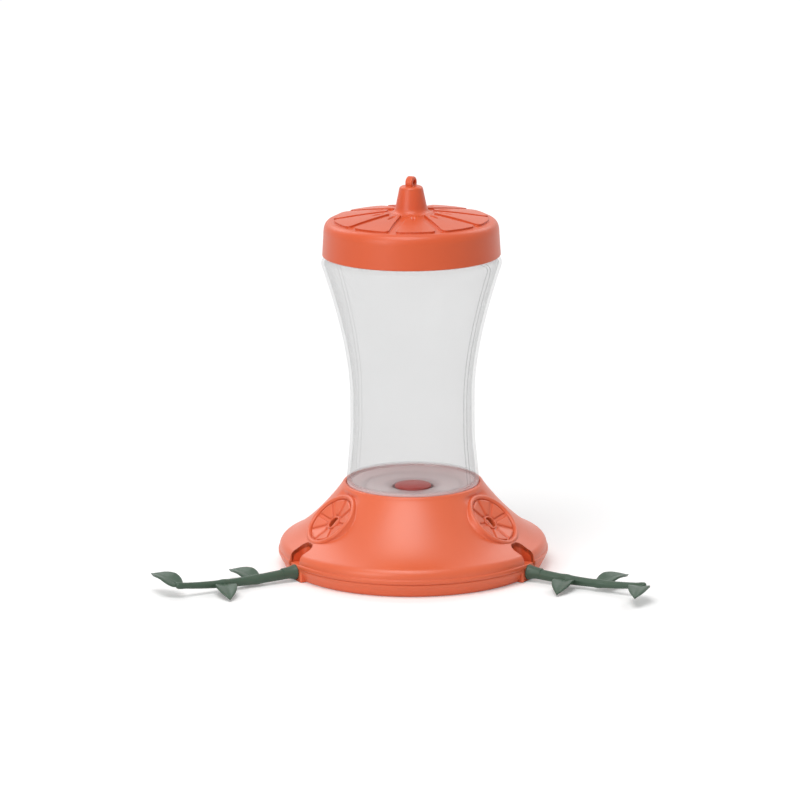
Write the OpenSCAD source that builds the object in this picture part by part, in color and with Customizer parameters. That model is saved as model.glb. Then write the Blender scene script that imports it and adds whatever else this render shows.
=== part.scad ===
// Oriole feeder: a top-filled nectar bottle that screws into a domed cover with three
// orange-slice ports, over a nectar tray with three leafy perches.
// Millimetres. +Z is up, the tray stands on z = 0 and the front faces -Y.

/* [Tray] */
// Outer radius of the tray wall at the parting line
tray_r = 81.6; // [78:0.1:95]
// Height of the outer tray wall, up to the parting line
tray_h = 8.6; // [7:0.1:14]
// Distance from the tray's wall in to its flat foot
foot_inset = 5.2; // [5:0.1:12]
// Width of the flat ring that the tray stands on
foot_w = 8.0; // [4:0.1:12]
// Radius of the pad at the middle of the underside
pad_r = 12; // [6:0.5:20]
// Depth of the shallow ring-shaped recess moulded under the tray
foot_recess = 1.0; // [0.4:0.1:1.6]
// Distance from the tray's wall in to the nectar basin's wall
basin_inset = 12.4; // [12:0.1:20]
// Height of the basin wall above the ground
basin_h = 15.0; // [11:0.1:16]
// Thickness of the moulded walls
wall = 2.2; // [1.6:0.1:2.6]

/* [Perches] */
// Distance from the tray's wall in to the sockets' faces
socket_inset = 1.4; // [0.8:0.1:2]
// Clearance between a socket block and the notch over it
socket_gap = 0.7; // [0.4:0.1:1.2]
// Height of the sockets' tops above the ground
socket_top = 10.4; // [9.6:0.1:12]
// Height of the sockets' undersides above the ground
socket_foot = 0.4; // [0.2:0.1:1]
// Height of the perch's axis above the ground where it leaves the socket
perch_z = 5.5; // [5:0.1:6.5]
// Radius of the peg that plugs into the socket
peg_r = 2.5; // [1.8:0.05:3.2]
// Depth of the peg in the socket
peg_depth = 7.5; // [4:0.1:9]
// Radius of the thin collar against the socket
collar_r = 4.9; // [4:0.1:5.2]
// Thickness of that collar
collar_t = 0.9; // [0.6:0.1:1.5]
// Length of a perch from its socket to its tip
perch_len = 81; // [60:0.5:110]
// Sag of a stem past its socket
stem_sag = 5.4; // [2:0.1:6]
// Rise of a stem's tip over its socket
stem_rise = 2.6; // [0:0.1:6]
// Stem radius at the socket
stem_r = 3.5; // [2.5:0.1:4.2]
// Stem radius at the tip
stem_tip_r = 1.8; // [1.2:0.1:2.5]
// Length of a leaf
leaf_len = 25; // [15:0.5:32]
// Width of a leaf
leaf_w = 12.4; // [6:0.1:16]
// Thickness of a leaf at its midrib
leaf_t = 1.7; // [1.2:0.1:2.4]
// Angle at which each half of a leaf folds up from its midrib
leaf_fold = 24; // [0:1:35]

/* [Cover] */
// How far the cover's rim stands out over the tray's wall
rim_overhang = 0.8; // [0.4:0.1:2]
// Height of the beaded edge at the foot of the cover's dome
rim_z = 11.2; // [10.5:0.1:13]
// Height of the lip around the bottle's foot
lip_z = 52.0; // [48:0.1:60]
// Thickness of that lip
lip_t = 1.6; // [1.2:0.1:2.2]
// Height of the ledge under the bottle's foot
ledge_z = 50.0; // [46:0.1:52]
// Height of the floor inside the cover's collar
sump_z = 38.0; // [32:0.1:39.5]
// Inner radius of the outlet tube
outlet_r = 10.0; // [8:0.1:14]
// Height of the outlet tube's mouth, which sets the nectar level
outlet_z = 10.0; // [7:0.1:13]
// Radius of the post that carries the valve stopper
post_r = 2.6; // [2:0.1:3.5]

/* [Ports] */
// Distance of a port's centre from the axis
port_a = 56.6; // [52:0.1:60]
// Height of a port's centre
port_z = 34.8; // [30:0.1:38]
// Angle of a port's face normal above the horizontal
port_tilt = 45.5; // [40:0.5:52]
// Radius of the sliced disc
disc_r = 16.0; // [12:0.1:18]
// Radius to the middle of the bead around the disc
bead_r = 17.2; // [13:0.1:19]
// Radius of the bead's round section
bead_t = 1.1; // [0.6:0.05:1.5]
// Depth of the dished disc at its middle
dish_depth = 3.2; // [2:0.1:4]
// Number of slice segments on a disc
segments = 8; // [6:2:12]
// Width of the grooves between the segments
segment_gap = 1.5; // [1:0.1:2.5]
// Height of the segments above the dish
segment_h = 0.9; // [0.4:0.1:1.4]
// Radius of the feeding hole
hole_r = 3.6; // [3:0.1:4.2]
// Half width of the notch that a perch stands in
notch_w = 6.2; // [5.8:0.1:8]
// Distance from the cover's rim in to the notch's inner end
notch_l = 9.2; // [8:0.1:10]
// Radius of the rounded corners where a notch opens at the rim
notch_corner = 4.0; // [1:0.1:6]

/* [Bottle] */
// Radius of the bottle's foot
bottle_foot_r = 40.4; // [36:0.1:44]
// Radius of the waist
waist_r = 37.9; // [33:0.1:40]
// Height of the lower end of the waist
waist_z = 88; // [80:0.5:98]
// Height of the upper end of the waist
waist_top_z = 105; // [100:0.5:120]
// Radius of the shoulder under the lid
shoulder_r = 54.6; // [50:0.1:58]
// Height of the shoulder
shoulder_z = 187.5; // [170:0.5:205]
// Thickness of the bottle's wall
bottle_wall = 1.9; // [1.4:0.1:2.4]
// Distance from the lid's skirt in to the outside of the mouth
mouth_inset = 5.4; // [5:0.1:9]
// Height of the mouth above the shoulder
mouth_h = 21.6; // [16:0.1:21.6]
// Outer radius of the neck under the foot
neck_r = 31.0; // [27:0.1:34]
// Height of the lower end of that neck
neck_z = 41.0; // [40:0.1:43]
// Radius of the valve hole in the floor
valve_hole_r = 8.5; // [6.5:0.1:9.5]
// Radius of the well that the stopper stands in
well_r = 12.6; // [12:0.1:14]
// Width of the raised mould lines on the bottle
mould_line_w = 0.7; // [0.4:0.05:1.2]
// Height of the mould lines above the wall
mould_line_h = 0.3; // [0.1:0.05:0.6]

/* [Valve] */
// Radius of the red stopper
stopper_r = 11.2; // [9.6:0.1:11.8]
// Thickness of the stopper's rim
stopper_t = 2.0; // [1.4:0.1:2.8]
// Radius of the stopper's stem
stopper_stem_r = 4.4; // [3.8:0.1:5]
// Height of the bottle's travel between open and closed
valve_travel = 2.5; // [1.5:0.1:3]

/* [Lid] */
// How far the lid's lower edge lies inside the bottle's shoulder
lid_inset = 0.8; // [0:0.1:3]
// Height of the lid from its lower edge to the top of the slices' outer ends
lid_h = 22.2; // [18:0.1:28]
// Distance from the lid's lower edge in to the slices' outer ends
slice_inset = 7.1; // [6:0.1:12]
// Number of slices on the lid
slices = 10; // [6:1:14]
// Depth of the grooves between the slices
slice_h = 1.2; // [0.6:0.1:1.6]
// Width of the grooves between the slices
slice_gap = 5.0; // [3:0.1:6]
// Radius of the rounded outer corners of the slices
slice_corner = 2.0; // [1:0.1:3]
// Radius of the slices' inner ends
slice_start = 15; // [14:0.5:22]
// Rise of the top from the slices' outer ends to the knob
dome_rise = 4.4; // [2:0.1:7]
// Radius of the knob at its foot
knob_r = 9.6; // [8:0.1:12]
// Radius of the knob at its top
knob_top_r = 6.8; // [5.5:0.1:8]
// Height of the knob above the top
knob_h = 15.2; // [10:0.1:22]
// Outer radius of the hanging eye
eye_r = 3.9; // [3.4:0.1:5]
// Radius of the hole in the hanging eye
eye_hole_r = 1.85; // [1.5:0.05:2.4]
// Width of the eye's strap along its hole
eye_w = 4.6; // [3:0.1:6]
// Thickness of the lid's gasket
gasket_t = 1.5; // [1:0.1:2.5]

/* [Hidden] */
$fn = 96;
orange = "#e0603a";
leaf_green = "#4a6350";
clear = [0.86, 0.88, 0.9, 0.35];
red = "#a33a36";
soft_white = "#d9d6cf";

// Clearances: between pieces that slide or turn, and between pieces that seat
run_gap = 0.3;
seat_gap = 0.1;

// Radii that follow from the named sizes
foot_r = tray_r - foot_inset;
basin_r = tray_r - basin_inset;
socket_face_r = tray_r - socket_inset;
rim_r = tray_r + rim_overhang;
notch_a = rim_r - notch_l;
socket_w = 2 * (notch_w - socket_gap);
lid_r = shoulder_r - lid_inset;
mouth_r = lid_r - mouth_inset;
slice_r = lid_r - slice_inset;

// Stations of the ports and perches, as angles from +X about +Z
station_left = -150;
station_right = -30;
station_rear = 90;
stations = [station_left, station_right, station_rear];

// Derived levels
floor_z = foot_recess + wall;
shell_in = rim_r - wall;
lip_r = bottle_foot_r + 0.4 + lip_t;
bottle_z = ledge_z + seat_gap;
floor_in_z = bottle_z + bottle_wall;
floor_drop = 2.9;
well_z = floor_in_z - floor_drop - 3.6;
stopper_z = well_z + valve_travel + seat_gap;
collar_in = neck_r + run_gap;
collar_out = collar_in + wall;
lid_z = shoulder_z + 4.9;
slice_z = lid_z + lid_h;
mouth_z = shoulder_z + mouth_h;
knob_z = slice_z + dome_rise;
knob_top_z = knob_z + knob_h;
eye_z = knob_top_z + eye_hole_r + 0.05;
eye_turn = -25;

// Cubic curve through two end points with two handles, as n + 1 points
function curve(p, n) = [for (i = [0:n]) let (t = i / n)
    pow(1 - t, 3) * p[0] + 3 * t * pow(1 - t, 2) * p[1] + 3 * t * t * (1 - t) * p[2] + pow(t, 3) * p[3]];

// Left-hand normal of a path at point i, and the path moved by d along it
function path_dir(p, i) = p[min(i + 1, len(p) - 1)] - p[max(i - 1, 0)];
function side(v) = [-v[1], v[0]] / norm(v);
function shifted(p, d) = [for (i = [0:len(p) - 1]) p[i] + d * side(path_dir(p, i))];
function reversed(p) = [for (i = [len(p) - 1:-1:0]) p[i]];

// Moves a child from the outward +X of one station to that station
module at(station) {
    rotate([0, 0, station]) children();
}

// Places a child on a port's face: +Z is the face's normal, +X runs down the slope
module on_port() {
    translate([port_a, 0, port_z]) rotate([0, 90 - port_tilt, 0]) children();
}

// TRAY

module tray_wall_profile() {
    edge = 0.5;
    difference() {
        polygon(concat([[0, tray_h], [0, 0]],
            curve([[foot_r, 0], [tray_r - 3.4, 0.05], [tray_r - 2.6, 2.4], [tray_r - 1.7, 4.3]], 8),
            curve([[tray_r - 1.6, 4.5], [tray_r - 0.9, 5.8], [tray_r, 6.9], [tray_r, tray_h - edge]], 5),
            [[tray_r - edge, tray_h]]));
        translate([pad_r, -1]) square([foot_r - foot_w - pad_r, 1 + foot_recess]);
    }
}

// Open channel between the basin and the outer wall
module channel_profile() {
    polygon([[basin_r - 0.1, floor_z], [tray_r - 4.2, floor_z], [tray_r - wall - 0.3, tray_h],
             [tray_r - wall - 0.3, tray_h + 1], [basin_r - 0.1, tray_h + 1]]);
}

module basin_profile() {
    corner = 2.5;
    inner = basin_r - wall;
    difference() {
        union() {
            translate([0, foot_recess]) square([basin_r, basin_h - foot_recess - wall / 2]);
            translate([basin_r - wall / 2, basin_h - wall / 2]) circle(r = wall / 2);
        }
        translate([0, floor_z]) square([inner - corner, basin_h]);
        translate([0, floor_z + corner]) square([inner, basin_h]);
        translate([inner - corner, floor_z + corner]) circle(r = corner);
    }
}

module tray() {
    color(orange) difference() {
        union() {
            rotate_extrude() union() {
                difference() {
                    tray_wall_profile();
                    translate([-1, floor_z]) square([basin_r - wall + 1, tray_h]);
                    channel_profile();
                }
                basin_profile();
            }
            for (s = stations) at(s) socket_block();
        }
        for (s = stations) at(s) {
            translate([socket_face_r - peg_depth - seat_gap, 0, perch_z])
                rotate([0, 90, 0]) cylinder(r = peg_r + seat_gap, h = peg_depth + 1);
            translate([socket_face_r, -notch_w, -1]) cube([socket_inset + 5, 2 * notch_w, tray_h + 3]);
        }
    }
}

// A perch's socket: a block through the tray's wall, with a round-backed top in the notch
module socket_block() {
    w = socket_w;
    back = basin_r - 0.6;
    drop = 0.3;
    translate([back, -w / 2, socket_foot]) cube([socket_face_r - back, w, tray_h - drop - socket_foot]);
    translate([notch_a + notch_w, 0, foot_recess + 1]) cylinder(r = w / 2, h = socket_top - foot_recess - 1);
    translate([notch_a + notch_w, -w / 2, socket_foot]) cube([socket_face_r - notch_a - notch_w, w, socket_top - socket_foot]);
}

// PERCHES

// Centre line of a stem: it sags a little past the socket and then rises to its tip
function stem_height(x) = let (t = x / perch_len) -stem_sag * t * (1 - t) + stem_rise * pow(t, 3);
function stem_radius(x) = stem_r + (stem_tip_r - stem_r) * pow(x / perch_len, 0.9);

stem_sides = 14;
stem_rings = 12;

function stem_ring(x, r, z) = [for (k = [0:stem_sides - 1]) let (a = 360 * k / stem_sides)
    [x, r * cos(a), z + r * sin(a)]];

module stem() {
    tip = [[0, 1], [0.45, 0.9], [0.8, 0.6], [0.97, 0.25]];
    body = [for (i = [0:stem_rings]) let (x = collar_t / 2 + i / stem_rings * (perch_len - stem_tip_r))
        stem_ring(x, stem_radius(x), stem_height(x))];
    x_end = perch_len - stem_tip_r + collar_t / 2;
    cap = [for (c = tip) stem_ring(x_end + 0.1 + c[0] * stem_tip_r, c[1] * stem_tip_r, stem_height(x_end))];
    rings = concat(body, cap);
    n = stem_sides;
    m = len(rings);
    points = [for (ring = rings) each ring];
    faces = concat(
        [[for (k = [0:n - 1]) k]],
        [for (i = [0:m - 2]) for (k = [0:n - 1]) [i * n + k, (i + 1) * n + k, (i + 1) * n + (k + 1) % n]],
        [for (i = [0:m - 2]) for (k = [0:n - 1]) [i * n + k, (i + 1) * n + (k + 1) % n, i * n + (k + 1) % n]],
        [[for (k = [n - 1:-1:0]) (m - 1) * n + k]]);
    polyhedron(points = points, faces = faces);
}

// Half width of a leaf at the fraction t of its length, widest in its first third
function leaf_half(t) = leaf_w / 2 * max(0.03, sin(180 * pow(0.06 + 0.94 * t, 0.62)));

// One leaf along +X, folded up along its midrib and arched along its length
module leaf() {
    n = 10;
    across = [-1, -0.5, 0, 0.5, 1];
    w = len(across);
    arch = 1.4;
    top = [for (i = [0:n]) for (s = across) let (t = i / n, h = leaf_half(t))
        [t * leaf_len, s * h, abs(s) * h * tan(leaf_fold) + arch * sin(180 * t) + (s == 0 ? 0.35 : 0)]];
    low = [for (i = [0:n]) for (s = across) let (t = i / n, h = leaf_half(t))
        [t * leaf_len, s * h * 0.97,
         abs(s) * h * tan(leaf_fold) + arch * sin(180 * t) - leaf_t * (1 - 0.45 * abs(s))]];
    c = len(top);
    grid = [for (i = [0:n - 1]) for (k = [0:w - 2]) [i * w + k, (i + 1) * w + k, (i + 1) * w + k + 1, i * w + k + 1]];
    faces = concat(
        [for (q = grid) [q[0], q[3], q[2]]],
        [for (q = grid) [q[0], q[2], q[1]]],
        [for (q = grid) [c + q[0], c + q[1], c + q[2]]],
        [for (q = grid) [c + q[0], c + q[2], c + q[3]]],
        [for (i = [0:n - 1]) for (f = [[i * w, (i + 1) * w, c + (i + 1) * w], [i * w, c + (i + 1) * w, c + i * w]]) f],
        [for (i = [0:n - 1]) let (a = i * w + w - 1, b = a + w) for (f = [[a, c + b, b], [a, c + a, c + b]]) f],
        [for (k = [0:w - 2]) for (f = [[k, c + k, c + k + 1], [k, c + k + 1, k + 1]]) f],
        [for (k = [0:w - 2]) let (a = n * w + k) for (f = [[a, c + a + 1, c + a], [a, a + 1, c + a + 1]]) f]);
    polyhedron(points = concat(top, low), faces = faces);
}

// A leaf that leaves the stem at distance x, turned from the stem by a, tilted down by d
module leaf_at(x, a, d) {
    translate([x, 0, stem_height(x) + 0.1]) rotate([0, d, a]) leaf();
}

module perch() {
    color(leaf_green) translate([socket_face_r, 0, perch_z]) {
        translate([-peg_depth, 0, 0]) rotate([0, 90, 0]) cylinder(r = peg_r, h = peg_depth + 1);
        rotate([0, 90, 0]) cylinder(r = collar_r, h = collar_t);
        rotate([0, 90, 0]) cylinder(r1 = collar_r - 0.6, r2 = stem_r - 0.15, h = 4.5);
        stem();
        leaf_at(0.385 * perch_len, -88, 8);
        leaf_at(0.63 * perch_len, 73, 4);
        leaf_at(0.97 * perch_len, -80, -2);
    }
}

module perch_left() { at(station_left) perch(); }
module perch_right() { at(station_right) perch(); }
module perch_rear() { at(station_rear) perch(); }

// COVER

// Outer face of the cover, from the rim's lower edge up to the lip
function cover_outer() = concat(
    [[rim_r - 0.5, tray_h], [rim_r - 0.1, tray_h + 0.4], [rim_r, rim_z - 0.4]],
    curve([[rim_r - 0.25, rim_z + 0.2], [rim_r - 0.3, rim_z + 3.1], [rim_r - 1.7, rim_z + 5.0],
           [rim_r - 3.4, rim_z + 6.0]], 7),
    curve([[rim_r - 4.2, rim_z + 6.36], [rim_r - 20.5, rim_z + 13.85], [lip_r + 0.8, lip_z - 2.1],
           [lip_r + 0.8, lip_z - 1.3]], 18),
    [[lip_r, lip_z - 0.3], [lip_r - 0.5, lip_z]]);

function cover_inner() = let (o = cover_outer()) concat(
    [[shell_in, tray_h], [shell_in, rim_z]],
    [for (p = shifted([for (i = [4:len(o) - 4]) o[i]], wall)) if (p[1] < ledge_z - wall) p]);

module cover_shell() {
    rotate_extrude() polygon(concat(
        cover_outer(),
        [[lip_r - lip_t, lip_z], [lip_r - lip_t, ledge_z], [collar_in + 0.8, ledge_z], [collar_in, ledge_z - 0.8],
         [collar_in, sump_z], [outlet_r, sump_z], [outlet_r, outlet_z], [outlet_r + wall - 0.6, outlet_z],
         [outlet_r + wall, sump_z - wall], [collar_out, sump_z - wall], [collar_out, ledge_z - wall]],
        reversed(cover_inner())));
}

// Ring rib that centres the cover on the basin
module centring_rib() {
    inner = basin_r + run_gap;
    top = rim_z + 10.4;
    rotate_extrude() polygon([[inner, socket_top + 0.5], [inner + 0.9, socket_top + 0.5],
                              [inner + 1.3, top - 0.6], [inner, top]]);
}

// Everything above a port's face
module port_cut() {
    on_port() cylinder(r = bead_r + bead_t + 0.5, h = 30);
}

// The material that carries the face and its dish
module port_block() {
    on_port() translate([0, 0, -dish_depth - wall])
        cylinder(r = bead_r + bead_t + 0.5, h = dish_depth + wall);
}

// Plan of a notch: a round inner end and corners that open at the rim
module notch_plan(grow) {
    w = notch_w + grow;
    c = notch_corner;
    mouth = rim_r - c - 0.2;
    translate([notch_a + notch_w, 0]) circle(r = w);
    translate([notch_a + notch_w, -w]) square([30, 2 * w]);
    if (grow == 0) difference() {
        translate([mouth, -w - c]) square([30, 2 * (w + c)]);
        for (m = [-1, 1]) translate([mouth, m * (w + c)]) circle(r = c);
    }
}

module notch_wall() {
    intersection() {
        linear_extrude(height = lip_z) notch_plan(wall);
        rotate_extrude() polygon(concat([[0, tray_h]], shifted(cover_outer(), 0.3), [[0, lip_z]]));
    }
}

module dish() {
    edge = 0.5;
    rotate_extrude() polygon([[0, 3], [disc_r, 3], [disc_r, -edge], [hole_r + 1.4, -dish_depth], [0, -dish_depth]]);
}

// Raised segments of the slice, with straight grooves between them
module slice_segments() {
    edge = 0.5;
    inner = hole_r + 1.9;
    outer = disc_r - 0.9;
    slope = (dish_depth - edge) / (disc_r - hole_r - 1.4);
    difference() {
        rotate_extrude() polygon([
            [inner, -dish_depth - 0.5], [outer, -dish_depth - 0.5],
            [outer, segment_h - edge - slope * (disc_r - outer) - 0.3],
            [outer - 0.5, segment_h - edge - slope * (disc_r - outer + 0.5)],
            [inner + 0.4, segment_h - dish_depth + slope * 0.9], [inner, segment_h - dish_depth - 0.2]]);
        for (k = [0:segments / 2 - 1]) rotate([0, 0, k * 360 / segments])
            translate([-20, -segment_gap / 2, -10]) cube([40, segment_gap, 20]);
    }
}

module port_relief() {
    on_port() {
        slice_segments();
        rotate_extrude() translate([bead_r, -0.15]) circle(r = bead_t, $fn = 32);
        translate([0, 0, -dish_depth - 0.3]) difference() {
            cylinder(r = hole_r + 1.0, h = 1.1);
            translate([0, 0, -1]) cylinder(r = hole_r, h = 4);
        }
    }
}

module spider() {
    for (a = [0:120:240]) rotate([0, 0, a + 30]) translate([0, -0.9, sump_z - wall])
        cube([outlet_r + 0.5, 1.8, wall + 1.2]);
    translate([0, 0, sump_z - wall]) cylinder(r = post_r + 1.4, h = wall + 1.2);
    translate([0, 0, sump_z - wall]) cylinder(r = post_r, h = stopper_z - 1.6 - sump_z + wall);
}

module cover() {
    color(orange) {
        difference() {
            union() {
                difference() {
                    union() {
                        cover_shell();
                        centring_rib();
                    }
                    for (s = stations) at(s) port_cut();
                }
                for (s = stations) at(s) {
                    difference() {
                        notch_wall();
                        port_cut();
                    }
                    difference() {
                        port_block();
                        cylinder(r = collar_out - 0.2, h = 60);
                        translate([0, 0, -1]) cylinder(r = 200, h = 1 + basin_h + 1);
                    }
                }
            }
            for (s = stations) at(s) {
                on_port() {
                    dish();
                    translate([0, 0, -20]) cylinder(r = hole_r, h = 40);
                }
                translate([0, 0, -1]) linear_extrude(height = lip_z + 8) notch_plan(0);
            }
        }
        for (s = stations) at(s) port_relief();
        spider();
    }
}

// VALVE

module valve_stopper() {
    socket = post_r + seat_gap;
    stem_low = neck_z + 0.5;
    dome = 0.6;
    color(red) rotate_extrude() polygon([
        [0, stopper_z + stopper_t + dome], [stopper_r * 0.45, stopper_z + stopper_t + dome * 0.8],
        [stopper_r - 1.6, stopper_z + stopper_t], [stopper_r - 0.5, stopper_z + stopper_t - 0.4],
        [stopper_r, stopper_z + stopper_t - 1.0], [stopper_r, stopper_z + 0.4], [stopper_r - 0.4, stopper_z],
        [stopper_stem_r + 0.8, stopper_z], [stopper_stem_r, stopper_z - 0.8], [stopper_stem_r, stem_low],
        [socket, stem_low], [socket, stopper_z - 1.6], [0, stopper_z - 1.6]]);
}

module reservoir_seal() {
    ring = 1.05;
    color(soft_white) rotate_extrude() translate([neck_r + run_gap - ring - seat_gap, neck_z + 2.6])
        circle(r = ring, $fn = 48);
}

// BOTTLE

function bottle_outer() = concat(
    [[bottle_foot_r - 2.2, bottle_z], [bottle_foot_r - 1.1, bottle_z + 0.35],
     [bottle_foot_r - 0.35, bottle_z + 1.2]],
    curve([[bottle_foot_r, bottle_z + 2.6], [bottle_foot_r - 0.7, bottle_z + 16],
           [waist_r, waist_z - 12], [waist_r, waist_z]], 10),
    curve([[waist_r, waist_top_z], [waist_r, waist_top_z + 25],
           [shoulder_r - 9.2, shoulder_z - 28.5], [shoulder_r - 0.3, shoulder_z - 1.6]], 16),
    curve([[shoulder_r, shoulder_z], [shoulder_r + 0.1, shoulder_z + 2.4],
           [mouth_r + 3.5, shoulder_z + 4], [mouth_r, shoulder_z + 4.6]], 6));

function bottle_inner() = let (o = bottle_outer())
    [for (p = shifted([for (i = [3:len(o) - 2]) o[i]], bottle_wall)) if (p[1] > floor_in_z + 1) p];

module bottle_body() {
    groove = 2.6;
    rotate_extrude() polygon(concat(
        bottle_outer(),
        [[mouth_r, mouth_z - 0.5], [mouth_r - 0.5, mouth_z], [mouth_r - 2.0, mouth_z],
         [mouth_r - 2.4, mouth_z - 0.5], [mouth_r - 2.4, shoulder_z + 4]],
        reversed(bottle_inner()),
        [[bottle_foot_r - bottle_wall - 1.4, floor_in_z], [well_r + 0.6, floor_in_z - floor_drop],
         [well_r, floor_in_z - floor_drop - 0.5], [well_r, well_z], [valve_hole_r, well_z],
         [valve_hole_r, well_z - bottle_wall], [well_r + bottle_wall, well_z - bottle_wall],
         [well_r + bottle_wall, floor_in_z - floor_drop - bottle_wall],
         [neck_r - 2.6, bottle_z - 0.6], [neck_r - 2.6, neck_z + 0.6], [neck_r - 2.2, neck_z],
         [neck_r, neck_z], [neck_r, neck_z + 2.6 - groove / 2],
         [neck_r - 2.0, neck_z + 2.6 - groove / 2], [neck_r - 2.0, neck_z + 2.6 + groove / 2],
         [neck_r, neck_z + 2.6 + groove / 2], [neck_r, bottle_z]]));
}

// Two opposite mould lines, from the foot to the shoulder
module mould_lines() {
    o = bottle_outer();
    path = [for (i = [4:len(o) - 4]) o[i]];
    turn = mould_line_w / waist_r * 180 / PI;
    for (a = [-34, 146]) rotate([0, 0, a]) rotate_extrude(angle = turn)
        polygon(concat(shifted(path, -mould_line_h), reversed(shifted(path, bottle_wall / 2))));
}

module reservoir() {
    color(clear) {
        bottle_body();
        mould_lines();
    }
}

// LID

module lid_gasket() {
    color(soft_white) translate([0, 0, mouth_z]) difference() {
        cylinder(r = mouth_r + 0.6, h = gasket_t);
        translate([0, 0, -1]) cylinder(r = mouth_r - 3.4, h = gasket_t + 2);
    }
}

// Line of the top from the slices' outer ends up to the knob's foot, lowered by d
function dome_line(d) = curve([[slice_r, slice_z - d], [slice_r * 0.77, slice_z + dome_rise * 0.39 - d],
    [slice_r * 0.51, knob_z - dome_rise * 0.2 - d], [knob_r + 2.6, knob_z - d]], 6);

// The skirt and the sunk top surface, from the lower edge up to the knob
module lid_shell() {
    seat_z = mouth_z + gasket_t;
    seat_r = mouth_r - 4.2;
    skirt_in = lid_r - wall;
    rotate_extrude() polygon(concat(
        [[skirt_in, lid_z + 0.3], [skirt_in + 0.3, lid_z], [lid_r - 0.3, lid_z], [lid_r, lid_z + 0.3]],
        [[lid_r - 0.75, slice_z - 10.5]],
        curve([[lid_r - 0.85, slice_z - 8.5], [lid_r - 0.9, slice_z - 3.6],
               [lid_r - 2.6, slice_z - 0.9], [slice_r + 0.6, slice_z - slice_h + 0.1]], 8),
        dome_line(slice_h),
        [[knob_r - 3, knob_z - slice_h], [knob_r - 3, knob_z - slice_h - wall]],
        reversed([for (p = dome_line(slice_h + wall)) if (p[0] < seat_r - 1) p]),
        [[seat_r, seat_z + 0.3], [seat_r, seat_z], [mouth_r + 2.2, seat_z], [mouth_r + 3.0, seat_z - 1.2]]));
}

// The raised slices: the top layer with a straight-sided groove between neighbours
module lid_slices() {
    difference() {
        rotate_extrude() polygon(concat(
            [[slice_r, slice_z - 0.4], [slice_r - 0.5, slice_z]],
            [for (i = [1:6]) dome_line(0)[i]],
            reversed([for (i = [0:6]) dome_line(slice_h + 0.8)[i]])));
        translate([0, 0, slice_z - lid_h]) cylinder(r = slice_start, h = 2 * lid_h);
        for (k = [0:slices - 1]) rotate([0, 0, first_slice + (k + 0.5) * 360 / slices])
            translate([0, 0, slice_z - lid_h]) linear_extrude(height = 2 * lid_h) groove_plan();
    }
}

// Plan of one groove: parallel sides that round off into the slices' outer ends
module groove_plan() {
    w = slice_gap / 2;
    c = slice_corner;
    mouth = slice_r - 0.25 - c;
    translate([0, -w]) square([slice_r + 2, 2 * w]);
    difference() {
        translate([mouth, -w - c]) square([c + 2, 2 * (w + c)]);
        for (m = [-1, 1]) translate([mouth, m * (w + c)]) circle(r = c);
    }
}

// Small seed-shaped hollow near the inner end of each slice
module seed_hollows() {
    for (k = [0:slices - 1]) rotate([0, 0, first_slice + k * 360 / slices])
        translate([0, 0, knob_z - 1.6]) linear_extrude(height = knob_h) seed_plan();
}

module seed_plan() {
    translate([slice_start + 4, 0]) circle(r = 1.2, $fn = 32);
    polygon([[slice_start + 3.7, 1.16], [slice_start + 3.7, -1.16], [slice_start + 8.6, 0]]);
}

module knob() {
    rotate_extrude() polygon(concat(
        [[0, knob_z - slice_h - 0.5], [knob_r + 2.6, knob_z - slice_h - 0.5]],
        curve([[knob_r + 2.6, knob_z], [knob_r + 1.2, knob_z + 0.1], [knob_r + 0.2, knob_z + 1.0],
               [knob_r - 0.2, knob_z + 2.6]], 5),
        curve([[knob_top_r + 0.1, knob_top_z - 1.6], [knob_top_r, knob_top_z - 0.6],
               [knob_top_r - 0.5, knob_top_z], [knob_top_r - 1.6, knob_top_z]], 4),
        [[0, knob_top_z]]));
}

// Strap-shaped eye with rounded edges, with its hole turned to the front right
module eye() {
    soft = 0.9;
    h = eye_w / 2;
    rotate([0, 0, eye_turn]) translate([0, 0, eye_z]) rotate([0, 90, 0]) {
        rotate_extrude() polygon([
            [eye_hole_r, h - 0.4], [eye_hole_r + 0.4, h], [eye_r - soft, h], [eye_r - 0.25, h - soft / 2],
            [eye_r, h - soft], [eye_r, -h + soft], [eye_r - 0.25, -h + soft / 2], [eye_r - soft, -h],
            [eye_hole_r + 0.4, -h], [eye_hole_r, -h + 0.4]]);
        difference() {
            translate([0.6, -eye_r + 0.02, -h + soft]) cube([3.2, 2 * eye_r - 0.04, eye_w - 2 * soft]);
            cylinder(r = eye_hole_r + 0.5, h = 2 * eye_w, center = true);
        }
    }
}

first_slice = -85.5;

module lid() {
    color(orange) {
        difference() {
            union() {
                lid_shell();
                lid_slices();
                difference() {
                    knob();
                    translate([0, 0, knob_z - 10]) cylinder(r1 = knob_r - 3, r2 = knob_top_r - 2.8, h = 18);
                }
            }
            seed_hollows();
        }
        eye();
    }
}

tray();
perch_left();
perch_right();
perch_rear();
cover();
valve_stopper();
reservoir_seal();
reservoir();
lid_gasket();
lid();
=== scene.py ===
import bmesh
import bpy
from math import atan2, cos, exp, hypot, pi, radians, sin, sqrt, tan
from mathutils import Matrix, Vector
from mathutils.bvhtree import BVHTree


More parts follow.
